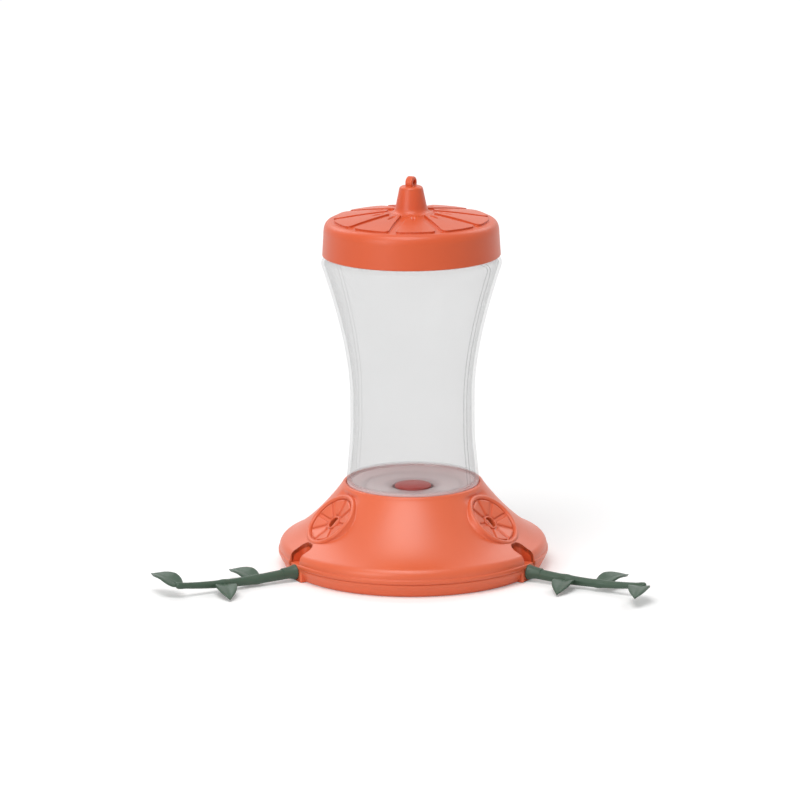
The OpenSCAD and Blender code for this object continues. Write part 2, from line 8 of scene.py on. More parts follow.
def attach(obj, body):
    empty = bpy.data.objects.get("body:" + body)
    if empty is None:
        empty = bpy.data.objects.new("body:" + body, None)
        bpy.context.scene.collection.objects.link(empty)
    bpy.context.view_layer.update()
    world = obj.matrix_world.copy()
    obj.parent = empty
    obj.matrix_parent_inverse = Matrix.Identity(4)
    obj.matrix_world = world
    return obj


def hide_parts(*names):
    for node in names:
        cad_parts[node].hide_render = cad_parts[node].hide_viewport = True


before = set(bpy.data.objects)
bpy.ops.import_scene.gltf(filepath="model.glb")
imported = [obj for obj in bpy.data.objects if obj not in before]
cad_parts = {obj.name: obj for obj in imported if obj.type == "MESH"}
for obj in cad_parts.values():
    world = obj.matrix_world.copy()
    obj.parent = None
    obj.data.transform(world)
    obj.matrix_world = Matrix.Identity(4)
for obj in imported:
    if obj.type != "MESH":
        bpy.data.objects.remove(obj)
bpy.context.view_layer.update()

# Tray: the lower half of the base, one moulding in orange polypropylene with a round nectar
# basin, an open channel around it and an outer wall with three sockets for the perches.
# It comes out of the mould with a fine satin grain, and its parting edge is slightly rounded.
mm = 0.001
stations = [radians(-150), radians(-30), radians(90)]
tray_r, tray_h, tray_floor = 81.6, 8.6, 3.2
tray_pad, tray_foot, tray_recess = 12, 68.4, 1.0
basin_out, basin_in, basin_h = 69.2, 67.0, 15.0
socket_face, block_back, block_face, block_w = 80.2, 68.6, 81.3, 7.2
socket_foot, block_top, knuckle_x, knuckle_r, knuckle_top = 0.4, 8.5, 79.4, 5.5, 10.4
perch_z, peg_hole_x, peg_hole_r = 5.5, 72.6, 2.6
outside = 90


def curve(a, b, c, d, n):
    """Points in mm along a cubic curve from a to d."""
    points = []
    for i in range(n + 1):
        t = i / n
        points.append(tuple((1 - t) ** 3 * a[k] + 3 * t * (1 - t) ** 2 * b[k]
                            + 3 * t * t * (1 - t) * c[k] + t ** 3 * d[k] for k in (0, 1)))
    return points


def turned(outline, soft=(), steps=192):
    """A solid turned about the z axis from an outline in mm; soft lists (corner, radius) pairs."""
    bm = bmesh.new()
    corners = [bm.verts.new((r * mm, 0, z * mm)) for r, z in outline]
    for a, b in zip(corners, corners[1:] + corners[:1]):
        if a.co.x > 1e-7 or b.co.x > 1e-7:
            bm.edges.new((a, b))
    for place, radius in soft:
        near = min(bm.verts, key=lambda v: (v.co - Vector((place[0] * mm, 0, place[1] * mm))).length)
        bmesh.ops.bevel(bm, geom=[near], offset=radius * mm, offset_type="OFFSET", segments=4,
                        profile=0.5, affect="VERTICES", material=-1)
    bmesh.ops.spin(bm, geom=bm.verts[:] + bm.edges[:], cent=(0, 0, 0), axis=(0, 0, 1),
                   dvec=(0, 0, 0), angle=2 * pi, steps=steps, use_merge=True)
    bmesh.ops.remove_doubles(bm, verts=bm.verts[:], dist=2e-6)
    bmesh.ops.recalc_face_normals(bm, faces=bm.faces[:])
    return bm


def raised(outline, low, high, edge=0.0, rows=2):
    """A prism on a plan outline in mm, with the edges of its top face rounded."""
    bm = bmesh.new()
    face = bm.faces.new([bm.verts.new((x * mm, y * mm, low * mm)) for x, y in outline])
    top = bmesh.ops.extrude_face_region(bm, geom=[face])["geom"]
    lifted = [v for v in top if isinstance(v, bmesh.types.BMVert)]
    bmesh.ops.translate(bm, verts=lifted, vec=(0, 0, (high - low) * mm))
    bmesh.ops.recalc_face_normals(bm, faces=bm.faces[:])
    if edge:
        rim = [e for e in bm.edges if all(v.co.z > (high - 0.001) * mm for v in e.verts)]
        bmesh.ops.bevel(bm, geom=rim, offset=edge * mm, offset_type="OFFSET", segments=rows + 1,
                        profile=0.5, affect="EDGES", material=-1)
    return bm


def joined(*solids):
    """Several solids as one mesh."""
    whole = bmesh.new()
    for bm in solids:
        part = bpy.data.meshes.new("part")
        bm.to_mesh(part)
        whole.from_mesh(part)
        bm.free()
        bpy.data.meshes.remove(part)
    return whole


def placed(bm, *moves):
    """The solid with these transforms applied to its points, the last one first."""
    for move in reversed(moves):
        bmesh.ops.transform(bm, matrix=move, verts=bm.verts[:])
    return bm


def at_stations(bm):
    """Three copies of a solid that was made on +x, one at each station; the solid itself is used up."""
    copies = []
    for angle in stations:
        copies.append(placed(bm.copy(), Matrix.Rotation(angle, 4, "Z")))
    bm.free()
    return joined(*copies)


def blank(bm):
    """A loose object that carries the solid's mesh until its modifiers are applied."""
    mesh = bpy.data.meshes.new("blank")
    bm.to_mesh(mesh)
    bm.free()
    loose = bpy.data.objects.new("blank", mesh)
    bpy.context.scene.collection.objects.link(loose)
    return loose


def applied(loose):
    """The solid that a loose object's modifiers make of it."""
    result = bpy.data.meshes.new_from_object(
        loose.evaluated_get(bpy.context.evaluated_depsgraph_get()))
    out = bmesh.new()
    out.from_mesh(result)
    bpy.data.meshes.remove(result)
    return out


def carved(bm, cutter):
    """The solid with the cutter taken away from it."""
    stock, tool = blank(bm), blank(cutter)
    cut = stock.modifiers.new("cut", "BOOLEAN")
    cut.operation = "DIFFERENCE"
    cut.solver = "EXACT"
    cut.object = tool
    out = applied(stock)
    bpy.data.meshes.remove(stock.data)
    bpy.data.meshes.remove(tool.data)
    bmesh.ops.remove_doubles(out, verts=out.verts[:], dist=1e-6)
    return out


def settled(bm, name, body, node, material, crease=32):
    """The finished piece: smooth faces, creased edges, its body, the node it stands for and its finish."""
    mesh = bpy.data.meshes.new(name)
    bm.to_mesh(mesh)
    bm.free()
    mesh.materials.clear()
    mesh.materials.append(material)
    mesh.polygons.foreach_set("use_smooth", [True] * len(mesh.polygons))
    mesh.polygons.foreach_set("material_index", [0] * len(mesh.polygons))
    mesh.set_sharp_from_angle(angle=radians(crease))
    piece = bpy.data.objects.new(name, mesh)
    bpy.context.scene.collection.objects.link(piece)
    level = piece.modifiers.new("even shading", "WEIGHTED_NORMAL")
    level.keep_sharp = True
    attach(piece, body)
    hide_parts(node)
    return piece


def laid_out(tree, *kinds):
    """New shader nodes of these kinds in a node tree."""
    return [tree.nodes.new("ShaderNode" + kind) for kind in kinds]


def wired(tree, *pairs):
    """A link between the two sockets of each pair."""
    for start, end in pairs:
        tree.links.new(start, end)


def ranged(node, low, high, start, end):
    """A Map Range node that turns low to high into start to end."""
    for label, value in (("From Min", low), ("From Max", high), ("To Min", start), ("To Max", end)):
        node.inputs[label].default_value = value


def mould_skin():
    """Surface of moulded plastic: slow drifts of tone, a fine satin grain and faint flow waves."""
    skin = bpy.data.node_groups.new("mould skin", "ShaderNodeTree")
    for label, kind in (("Colour", "Color"), ("Drift", "Color"), ("Sheen", "Float"),
                        ("Sheen spread", "Float"), ("Grain size", "Float")):
        skin.interface.new_socket(label, in_out="INPUT", socket_type="NodeSocket" + kind)
    for label, kind in (("Colour", "Color"), ("Roughness", "Float"), ("Height", "Float")):
        skin.interface.new_socket(label, in_out="OUTPUT", socket_type="NodeSocket" + kind)
    given, out = skin.nodes.new("NodeGroupInput"), skin.nodes.new("NodeGroupOutput")
    where, drift, grain, flow = laid_out(skin, "TexCoord", "TexNoise", "TexNoise", "TexNoise")
    drift.inputs["Scale"].default_value = 22.0
    drift.inputs["Detail"].default_value = 3.0
    grain.inputs["Detail"].default_value = 2.0
    flow.inputs["Scale"].default_value = 60.0
    span, blend, rough, high = laid_out(skin, "MapRange", "Mix", "Math", "Math")
    ranged(span, 0.3, 0.7, 0.0, 1.0)
    blend.data_type = "RGBA"
    rough.operation = high.operation = "MULTIPLY_ADD"
    high.inputs[1].default_value = 0.25
    wired(skin, *[(where.outputs["Object"], noise.inputs["Vector"]) for noise in (drift, grain, flow)],
          (given.outputs["Grain size"], grain.inputs["Scale"]),
          (drift.outputs["Fac"], span.inputs["Value"]), (span.outputs["Result"], blend.inputs[0]),
          (given.outputs["Colour"], blend.inputs[6]), (given.outputs["Drift"], blend.inputs[7]),
          (blend.outputs[2], out.inputs["Colour"]),
          (grain.outputs["Fac"], rough.inputs[0]), (given.outputs["Sheen spread"], rough.inputs[1]),
          (given.outputs["Sheen"], rough.inputs[2]), (rough.outputs[0], out.inputs["Roughness"]),
          (flow.outputs["Fac"], high.inputs[0]), (grain.outputs["Fac"], high.inputs[2]),
          (high.outputs[0], out.inputs["Height"]))
    return skin


skin = mould_skin()


def plastic(name, colour, drift, sheen, spread, grain, relief, soften=0.5, gloss=0.5):
    """A moulded plastic: grained skin, and edges that catch the light as rounded ones do."""
    made = bpy.data.materials.new(name)
    made.use_nodes = True
    tree = made.node_tree
    shader = tree.nodes["Principled BSDF"]
    shader.inputs["Specular IOR Level"].default_value = gloss
    face, bump = laid_out(tree, "Group", "Bump")
    face.node_tree = skin
    for label, value in (("Colour", (*colour, 1)), ("Drift", (*drift, 1)), ("Sheen", sheen),
                         ("Sheen spread", spread), ("Grain size", grain)):
        face.inputs[label].default_value = value
    bump.inputs["Strength"].default_value = relief
    bump.inputs["Distance"].default_value = 0.00008
    if soften:
        edge = tree.nodes.new("ShaderNodeBevel")
        edge.samples = 6
        edge.inputs["Radius"].default_value = soften * mm
        tree.links.new(edge.outputs["Normal"], bump.inputs["Normal"])
    wired(tree, (face.outputs["Height"], bump.inputs["Height"]),
          (face.outputs["Colour"], shader.inputs["Base Color"]),
          (face.outputs["Roughness"], shader.inputs["Roughness"]),
          (bump.outputs["Normal"], shader.inputs["Normal"]))
    return made


# painted light: the tray's orange is set lighter than the cover's to make up for the shade under the cover's overhang
tray_orange_with_painted_light = plastic("tray orange with painted light", (0.80, 0.155, 0.060), (0.76, 0.140, 0.052), 0.36, 0.14, 2600, 0.5)
tray_outline = (
    [(0, tray_floor), (0, 0), (tray_pad, 0), (tray_pad, tray_recess), (tray_foot, tray_recess), (tray_foot, 0)]
    + curve((tray_r - 5.2, 0), (tray_r - 3.4, 0.05), (tray_r - 2.6, 2.4), (tray_r - 1.7, 4.3), 10)
    + curve((tray_r - 1.6, 4.5), (tray_r - 0.9, 5.8), (tray_r, 6.9), (tray_r, tray_h - 0.5), 7)
    + [(tray_r - 0.5, tray_h), (tray_r - 2.5, tray_h), (tray_r - 4.2, tray_floor), (basin_out, tray_floor),
       (basin_out, basin_h), (basin_in, basin_h), (basin_in, tray_floor)])
tray_body = turned(tray_outline, [
    ((tray_pad, 0), 0.3), ((tray_foot, 0), 0.3), ((basin_out, basin_h), 1.0), ((basin_in, basin_h), 1.0),
    ((basin_in, tray_floor), 2.5), ((tray_r - 2.5, tray_h), 0.3)])
tray_body = carved(tray_body, at_stations(raised(
    [(socket_face, -block_w), (outside, -block_w), (outside, block_w), (socket_face, block_w)], -1, 10.6)))
block_corner = [(block_face - 1 + sin(radians(a)), block_w - 1 + cos(radians(a))) for a in range(0, 91, 15)]
block = raised([(block_back, -block_w), (block_back, block_w)] + block_corner
               + [(x, -y) for x, y in block_corner[::-1]], socket_foot, block_top)
round_back = [(knuckle_x + knuckle_r * cos(radians(a)), knuckle_r * sin(radians(a))) for a in range(90, 271, 10)]
knuckle = raised([(block_face, -knuckle_r), (block_face, knuckle_r)] + round_back, socket_foot, knuckle_top, 0.4)
upright = Matrix.Rotation(radians(90), 4, "Y")
peg_hole = placed(turned([(0, 0), (peg_hole_r, 0), (peg_hole_r, 10), (0, 10)], steps=32),
                  Matrix.Translation((peg_hole_x * mm, 0, perch_z * mm)), upright)
block = carved(block, peg_hole.copy())
knuckle = carved(knuckle, peg_hole)
settled(joined(tray_body, at_stations(block), at_stations(knuckle)), "nectar_tray", "base", "tray",
        tray_orange_with_painted_light)

# Perches: three leafy twigs, each one moulding in dark green polyethylene. The stem tapers and
# dips a little, carries three folded leaves with a raised midrib, and plugs into a socket of the
# tray with a round peg, up to a cone-shaped collar.
perch_len, stem_start, stem_start_r, stem_tip = 81.0, 0.4, 3.5, 1.8
leaf_len, leaf_w, leaf_t, leaf_fold = 25.0, 12.6, 1.25, tan(radians(22))
leaf_places = ((0.335, -75, 2), (0.605, 73, 2), (0.965, -72, -2))


def stem_height(x):
    """Height of the stem's middle at the distance x from the socket."""
    t = x / perch_len
    return -5.4 * t * (1 - t) + 2.6 * t ** 3


def stem_radius(x):
    """Radius of the stem, with a slight knot at each leaf."""
    swell = sum(0.35 * exp(-((x - share * perch_len) / 2.4) ** 2) for share, turn, dip in leaf_places)
    return 3.25 - 1.55 * (x / perch_len) ** 1.25 + swell


def leafy_stem():
    """The stem on +x: a ring at the socket, extruded step by step along its line."""
    bm = bmesh.new()
    ring = bmesh.ops.create_circle(bm, cap_ends=True, segments=28, radius=stem_start_r * mm)["verts"]
    bmesh.ops.transform(bm, matrix=upright, verts=ring)
    bmesh.ops.translate(bm, verts=ring, vec=(stem_start * mm, 0, 0))
    face = bm.faces[:][0]
    steps = [stem_start + (perch_len - stem_start - stem_tip) * (i + 1) / 60 for i in range(60)]
    tip = [(steps[-1] + stem_tip * sin(radians(a)), cos(radians(a))) for a in (15, 30, 45, 60, 75, 86)]
    here, size = stem_start, stem_start_r
    for x, part in [(x, None) for x in steps] + tip:
        grown = bmesh.ops.extrude_discrete_faces(bm, faces=[face])["faces"]
        face = grown[0]
        goal = stem_radius(steps[-1]) * part if part else stem_radius(x)
        lift = stem_height(min(x, perch_len)) - stem_height(min(here, perch_len))
        middle = sum((v.co for v in face.verts), Vector()) / len(face.verts)
        for v in face.verts:
            v.co = middle + (v.co - middle) * (goal / size) + Vector(((x - here) * mm, 0, lift * mm))
        here, size = x, goal
    bmesh.ops.remove_doubles(bm, verts=bm.verts[:], dist=1e-6)
    bmesh.ops.recalc_face_normals(bm, faces=bm.faces[:])
    return bm


def leaf_half(t):
    """Half width of a leaf: a broad base, widest in its first third, convex sides and a blunt tip."""
    if t < 0.32:
        return leaf_w / 2 * sqrt(1 - ((0.32 - t) / 0.335) ** 2)
    return leaf_w / 2 * (1 - ((t - 0.32) / 0.68) ** 2.1) * 0.955 + 0.045 * leaf_w / 2 * sqrt(max(0.0, 1 - t ** 6))


def thickened(bm, thickness, edge, rows, corner):
    """A sheet given its thickness in mm below it, with edges sharper than the corner angle rounded."""
    bmesh.ops.recalc_face_normals(bm, faces=bm.faces[:])
    if sum(f.normal.z for f in bm.faces) < 0:
        bmesh.ops.reverse_faces(bm, faces=bm.faces[:])
    sheet = blank(bm)
    body = sheet.modifiers.new("body", "SOLIDIFY")
    body.thickness = thickness * mm
    body.offset = -1
    rim = sheet.modifiers.new("rim", "BEVEL")
    rim.width = edge * mm
    rim.segments = rows
    rim.limit_method = "ANGLE"
    rim.angle_limit = radians(corner)
    out = applied(sheet)
    bpy.data.meshes.remove(sheet.data)
    return out


def leaf_at(x, turn, dip):
    """One leaf: a sheet folded along its midrib, given its thickness and a rounded edge."""
    bm = bmesh.new()
    bmesh.ops.create_grid(bm, x_segments=44, y_segments=20, size=0.5)
    for v in bm.verts:
        t, s = v.co.x + 0.5, v.co.y * 2
        half = leaf_half(t)
        across = abs(s) * half
        rib = 0.5 * exp(-(across / 0.55) ** 2) * (1 - 0.5 * t)
        vein = 0.10 * max(0.0, cos(2 * pi * (7 * t - across * 0.16))) ** 8 * (1 - abs(s)) * min(1.0, across)
        curl = -0.5 * s * s * s * s
        fold = leaf_fold * min(1.0, 0.2 + 2.0 * t)
        height = across * fold + 1.4 * sin(pi * t) + rib + vein + curl
        v.co = Vector((t * leaf_len, s * half, height)) * mm
    bmesh.ops.remove_doubles(bm, verts=bm.verts[:], dist=4e-5)
    return placed(thickened(bm, leaf_t, 0.4, 3, 50),
                  Matrix.Translation((x * mm, 0, (stem_height(x) + 0.1) * mm)),
                  Matrix.Rotation(radians(turn), 4, "Z"), Matrix.Rotation(radians(dip), 4, "Y"))


peg = placed(turned([(0, -7.5), (2.5, -7.5), (2.5, 1), (0, 1)], [((2.5, -7.5), 0.5)], 32), upright)
collar = placed(turned([(0, 0), (4.6, 0), (4.6, 1.6)] + curve((4.5, 1.75), (4.1, 3.0), (3.5, 5.0), (3.2, 10.0), 8)
                       + [(0, 10.0)], [((4.6, 1.6), 0.2)], 48), upright)
perch = joined(leafy_stem(), peg, collar,
               *[leaf_at(share * perch_len, turn, dip) for share, turn, dip in leaf_places])
socket_place = Matrix.Translation((socket_face * mm, 0, perch_z * mm))
leaf_green = plastic("leaf green", (0.042, 0.080, 0.050), (0.052, 0.094, 0.060), 0.32, 0.16, 1900, 0.7, 0.3, 0.45)
for side, angle, roll in zip(("left", "right", "rear"), stations, (-5, 4, 0)):
    twig = placed(perch.copy(), Matrix.Rotation(angle, 4, "Z"), socket_place,
                  Matrix.Rotation(radians(roll), 4, "X"))
    settled(twig, "leafy_perch_" + side, "base", "perch_" + side, leaf_green, 40)
perch.free()

# Cover: the domed upper half of the base, one moulding in orange polypropylene. It carries three
# feeding ports shaped like cut orange slices, has a notch over each perch, a collar that the
# bottle turns in, an outlet tube down into the nectar and a post for the valve stopper.
rim_r, rim_z, lip_r, lip_z, wall = 82.4, 11.2, 42.4, 52.0, 2.2
ledge_z, sump_z, collar_in, collar_out = 50.0, 38.0, 31.3, 33.5
skirt_z, skirt_in, tube_r, tube_z = 8.6, 80.2, 10, 10
port_a, port_z, port_lean = 56.6, 34.8, radians(44.5)
bead_r, bead_t, disc_r, hole_r, dish_depth = 17.2, 1.1, 16.0, 3.6, 3.2
notch_w, notch_a, notch_soft, notch_corner = 5.8, 70.7, 4.0, 1.4
dome_foot = curve((rim_r - 0.7, rim_z + 0.4), (rim_r - 0.5, rim_z + 3.1), (rim_r - 1.8, rim_z + 5.0),
                  (rim_r - 3.4, rim_z + 6.0), 10)
dome_flare = curve((rim_r - 4.2, rim_z + 6.36), (rim_r - 20.5, rim_z + 13.85), (lip_r + 0.8, lip_z - 2.1),
                   (lip_r + 0.8, lip_z - 1.3), 40)
skirt = [(rim_r - 0.5, skirt_z), (rim_r - 0.1, 9.0), (rim_r, 9.3), (rim_r, rim_z - 0.45),
         (rim_r - 0.2, rim_z - 0.1), (rim_r - 0.6, rim_z + 0.05)]
on_port = Matrix.Translation((port_a * mm, 0, port_z * mm)) @ Matrix.Rotation(port_lean, 4, "Y")


def inset_path(path, depth):
    """The path moved inwards by the wall's thickness."""
    moved = []
    for i, (r, z) in enumerate(path):
        a, b = path[max(i - 1, 0)], path[min(i + 1, len(path) - 1)]
        dr, dz = b[0] - a[0], b[1] - a[1]
        moved.append((r - depth * dz / hypot(dr, dz), z + depth * dr / hypot(dr, dz)))
    return moved


def rise(low, high, value):
    """0 below low, 1 above high, and a smooth step between them."""
    t = min(1.0, max(0.0, (value - low) / (high - low)))
    return t * t * (3 - 2 * t)


def eased(bm):
    """The dome sunk to the level of each port where it would stand over the port's upper edge."""
    for angle in stations:
        to_world = Matrix.Rotation(angle, 4, "Z") @ on_port
        to_port = to_world.inverted()
        normal = to_world.to_3x3() @ Vector((0, 0, 1))
        for v in bm.verts:
            if v.co.z < 0.0122 or v.co.z > 0.0505 or hypot(v.co.x, v.co.y) < 0.0435:
                continue
            u, side, level = (to_port @ v.co) / mm
            if u < -25 or level < -9:
                continue
            share = ((1 - rise(19, 24, hypot(u, side))) * (1 - rise(4, 14, u))
                     * (1 - rise(48.5, 50.4, v.co.z / mm)))
            depth = wall if v.index in inner_points else 0.0
            v.co += normal * (min(0.0, -0.35 - depth - level) * share * mm)
    return bm


inner_dome = [(r, z) for r, z in inset_path(dome_foot[1:] + dome_flare, wall) if z < ledge_z - wall]
shell = turned(
    skirt + dome_foot + dome_flare
    + [(lip_r, lip_z), (lip_r - 1.6, lip_z), (lip_r - 1.6, ledge_z), (collar_in + 0.8, ledge_z),
       (collar_in, ledge_z - 0.8), (collar_in, sump_z), (tube_r, sump_z), (tube_r, tube_z),
       (tube_r + 1.6, tube_z), (tube_r + 2.2, sump_z - wall), (collar_out, sump_z - wall),
       (collar_out, ledge_z - wall)]
    + inner_dome[::-1] + [(skirt_in, rim_z), (skirt_in, skirt_z)],
    [((lip_r, lip_z), 0.6), ((lip_r - 1.6, lip_z), 0.4), ((tube_r, sump_z), 0.8), ((tube_r + 1.6, tube_z), 0.4)],
    288)
shell.verts.index_update()
inner_points = {v.index for v in shell.verts if any(
    abs(v.co.z / mm - z) < 0.02 and abs(hypot(v.co.x, v.co.y) / mm - r) < 0.02 for r, z in inner_dome)}
eased(shell)
port_edge = bead_r + bead_t + 0.5
port_bore = placed(turned([(0, -5.2), (port_edge - 0.1, -5.2), (port_edge - 0.1, 30), (0, 30)], steps=96), on_port)


def notch_end(turn):
    """A point of the notch's rounded inner end in mm, with its outward direction."""
    side = 1 if turn < 180 else -1 if turn > 180 else 0
    out = (cos(radians(turn)), sin(radians(turn)))
    return (notch_a + notch_soft + notch_soft * out[0], (notch_w - notch_soft) * side + notch_soft * out[1]), out


notch_mouth = rim_r - notch_corner - 0.2
end_points = [notch_end(a) for a in range(90, 271, 6)]
mouth_side = [(notch_mouth + notch_corner * sin(radians(a)), notch_w + notch_corner * (1 - cos(radians(a))))
              for a in range(0, 91, 9)]
notch_plan = ([p for p, out in end_points] + [(x, -y) for x, y in mouth_side]
              + [(100, -notch_w - notch_corner), (100, notch_w + notch_corner)] + mouth_side[::-1])
shell_tree = BVHTree.FromBMesh(shell)


def notch_wall(angle):
    """The wall round one notch: a strip that hangs from the dome's surface down to the parting line."""
    turn = Matrix.Rotation(angle, 4, "Z")
    start, length = notch_mouth - 0.1, notch_mouth - 0.1 - notch_a - notch_soft
    straight = [(start - k * length / 14, notch_w) for k in range(14)]
    path = [(p, (0, 1)) for p in straight] + end_points + [((x, -y), (0, -1)) for x, y in straight[::-1]]
    bm = bmesh.new()
    rows = []
    for (x, y), (ox, oy) in path:
        row = []
        for off, sink in ((0.0, 0.04), (1.2, 0.5)):
            at = turn @ Vector(((x + off * ox) * mm, (y + off * oy) * mm, 0.07))
            top = shell_tree.ray_cast(at, Vector((0, 0, -1)))[0]
            row += [bm.verts.new((at.x, at.y, 8.7 * mm)), bm.verts.new((at.x, at.y, top.z - sink * mm))]
        rows.append([row[0], row[1], row[3], row[2]])
    for a, b in zip(rows, rows[1:]):
        for k in range(4):
            bm.faces.new((a[k], a[(k + 1) % 4], b[(k + 1) % 4], b[k]))
    bm.faces.new(rows[0])
    bm.faces.new(rows[-1][::-1])
    bmesh.ops.recalc_face_normals(bm, faces=bm.faces[:])
    return bm


lining = joined(*[notch_wall(angle) for angle in stations])
notches = at_stations(raised(notch_plan, -1, 60))
shell = carved(carved(shell, at_stations(port_bore)), notches.copy())
rib = carved(turned([(69.5, 10.9), (70.4, 10.9), (70.8, 21.0), (69.5, 21.6)], steps=192), notches)


def dish_level(r):
    """Height of the dished disc below the port's face at the radius r."""
    return -0.5 - (disc_r - r) * (dish_depth - 0.5) / (disc_r - hole_r - 1.4)


def slice_segment(index):
    """One raised segment of the sliced disc, with rounded edges, laid on the dish."""
    turn, gap, inner, outer = 2 * pi / 8, 2.1, 5.4, disc_r - 0.9
    plan = []
    for r, grow in ((outer, 1), (inner, -1)):
        reach = turn / 2 - gap / 2 / r
        row = [(r * cos(reach * k / 6), r * sin(reach * k / 6)) for k in range(-6, 7)]
        plan += row if grow > 0 else row[::-1]
    bm = raised(plan, -1.2, 1.0, 0.8, 3)
    bmesh.ops.triangulate(bm, faces=[f for f in bm.faces if len(f.verts) > 4])
    for v in bm.verts:
        v.co.z += dish_level(hypot(v.co.x, v.co.y) / mm) * mm
    return placed(bm, Matrix.Rotation(index * turn + turn / 2, 4, "Z"))


dish_foot, bar, ring_r = -dish_depth - wall, (3.8, 1.0), hole_r + 1.0
dish = turned([(hole_r, dish_foot), (port_edge, dish_foot), (port_edge + 0.9, -2.6), (port_edge + 0.4, -1.2),
               (port_edge, -0.4), (disc_r, 0), (disc_r, -0.5), (5, -dish_depth), (hole_r, -dish_depth)],
              [((disc_r, -0.5), 0.25)], 128)
bead = turned([(bead_r + 0.05 + 1.6 * cos(radians(a)), -0.3 + 1.45 * sin(radians(a))) for a in range(0, 360, 20)],
              steps=128)
hole_bar = raised([(-bar[0], -bar[1]), (bar[0], -bar[1]), (bar[0], bar[1]), (-bar[0], bar[1])],
                  dish_foot, -dish_depth - 0.5, 0.4)
hole_ring = turned([(hole_r, -3.6), (ring_r, -3.6), (ring_r, -2.4), (hole_r, -2.4)],
                   [((ring_r, -2.4), 0.35), ((hole_r, -2.4), 0.35)], 48)
port = joined(dish, bead, hole_bar, hole_ring, *[slice_segment(k) for k in range(8)])
ports = at_stations(placed(port, on_port))
arms = [placed(raised([(0, -0.9), (10.5, -0.9), (10.5, 0.9), (0, 0.9)], sump_z - wall, sump_z + 1.2, 0.3),
               Matrix.Rotation(radians(a), 4, "Z")) for a in (30, 150, 270)]
post_r, post_top, hub_r, hub_top = 2.6, 45.6, 4.0, sump_z + 1.2
hub = turned([(0, sump_z - wall), (hub_r, sump_z - wall), (hub_r, hub_top), (post_r, hub_top), (post_r, post_top),
              (0, post_top)], [((hub_r, hub_top), 0.4), ((post_r, post_top), 0.5)], 48)
cover_orange = plastic("cover orange", (0.74, 0.128, 0.043), (0.70, 0.115, 0.037), 0.29, 0.14, 2600, 0.5, 0.6, 0.58)
settled(joined(shell, lining, rib, ports, hub, *arms), "feeding_cover", "cover_body", "cover",
        cover_orange)

# Valve stopper: a soft disc with a short stem, moulded in dark red rubber and pushed onto the
# post of the cover. The bottle's floor closes on it when the bottle is raised.
disc_edge, disc_top, disc_foot, stem_r, stem_foot = 11.2, 49.5, 48.1, 4.4, 41.5
stopper = turned([(0, 50.75), (5.0, 50.65), (9.2, 50.15), (disc_edge, disc_top), (disc_edge, disc_foot),
                  (5.4, disc_foot), (stem_r, 47.3), (stem_r, stem_foot), (2.7, stem_foot), (2.7, 46.5), (0, 46.5)],
                 [((disc_edge, disc_top), 0.7), ((disc_edge, disc_foot), 0.4), ((stem_r, stem_foot), 0.3),
                  ((5.0, 50.65), 1.0)], 96)
stopper_red = plastic("stopper red", (0.53, 0.055, 0.042), (0.44, 0.043, 0.033), 0.26, 0.10, 900, 0.25, 0.0, 0.14)
settled(stopper, "rubber_stopper", "cover_body", "valve_stopper", stopper_red)

# Bottle seal: an off-white silicone ring of round section, stretched into the groove of the
# bottle's neck. Its CAD ring has the right form and stays.
silicone = plastic("soft white silicone", (0.66, 0.64, 0.60), (0.61, 0.59, 0.54), 0.42, 0.12, 1400, 0.3, 0.0, 0.45)
seal_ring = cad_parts["reservoir_seal"]
seal_ring.data.materials.clear()
seal_ring.data.materials.append(silicone)

# Bottle: a waisted bottle blown in clear plastic, with two faint mould lines, a flat foot, a
# short neck below it that turns in the cover and a wide threaded mouth for filling at the top.
foot_r, foot_z, waist_r, shoulder_r, shoulder_z, mouth_r, mouth_z = 40.4, 50.1, 37.9, 54.6, 187.5, 48.4, 209.1
bottle_wall, floor_z, neck_r, neck_in, neck_z, groove_r = 1.9, 52.0, 31.0, 28.4, 41.0, 29.0
well_r, well_z, valve_r, well_out, well_foot = 12.6, 45.5, 8.5, 14.5, 43.6
side_wall = (curve((foot_r, foot_z + 2.6), (foot_r - 0.7, foot_z + 16), (waist_r, 76), (waist_r, 88), 20)
             + curve((waist_r, 105), (waist_r, 130), (shoulder_r - 9.2, shoulder_z - 28.5),
                     (shoulder_r - 0.3, shoulder_z - 1.6), 32)
             + curve((shoulder_r, shoulder_z), (shoulder_r + 0.1, shoulder_z + 2.4), (mouth_r + 3.5, shoulder_z + 4),
                     (mouth_r, shoulder_z + 4.6), 10))
foot_edge = curve((foot_r - 2.4, foot_z), (foot_r - 1.0, foot_z), (foot_r - 0.1, foot_z + 0.9),
                  (foot_r, foot_z + 2.5), 6)[:-1]
inner_wall = [(r, z) for r, z in inset_path(side_wall[:-1], bottle_wall) if z > floor_z + 1]
bottle = turned(
    foot_edge + side_wall + [(mouth_r, mouth_z), (mouth_r - 2.4, mouth_z), (mouth_r - 2.4, shoulder_z + 4)]
    + inner_wall[::-1]
    + [(foot_r - 3.2, floor_z), (13.2, 49.1), (well_r, 48.6), (well_r, well_z), (valve_r, well_z),
       (valve_r, well_foot), (well_out, well_foot), (well_out, 47.2), (neck_in, 49.5), (neck_in, neck_z),
       (neck_r, neck_z), (neck_r, 42.3), (groove_r, 42.3), (groove_r, 44.9), (neck_r, 44.9), (neck_r, foot_z)],
    [((mouth_r, mouth_z), 0.7), ((mouth_r - 2.4, mouth_z), 0.7), ((well_r, well_z), 0.5), ((valve_r, well_z), 0.4),
     ((valve_r, well_foot), 0.4), ((neck_in, neck_z), 0.3), ((neck_r, neck_z), 0.3), ((13.2, 49.1), 0.8)], 360)
mould_line = 0.28
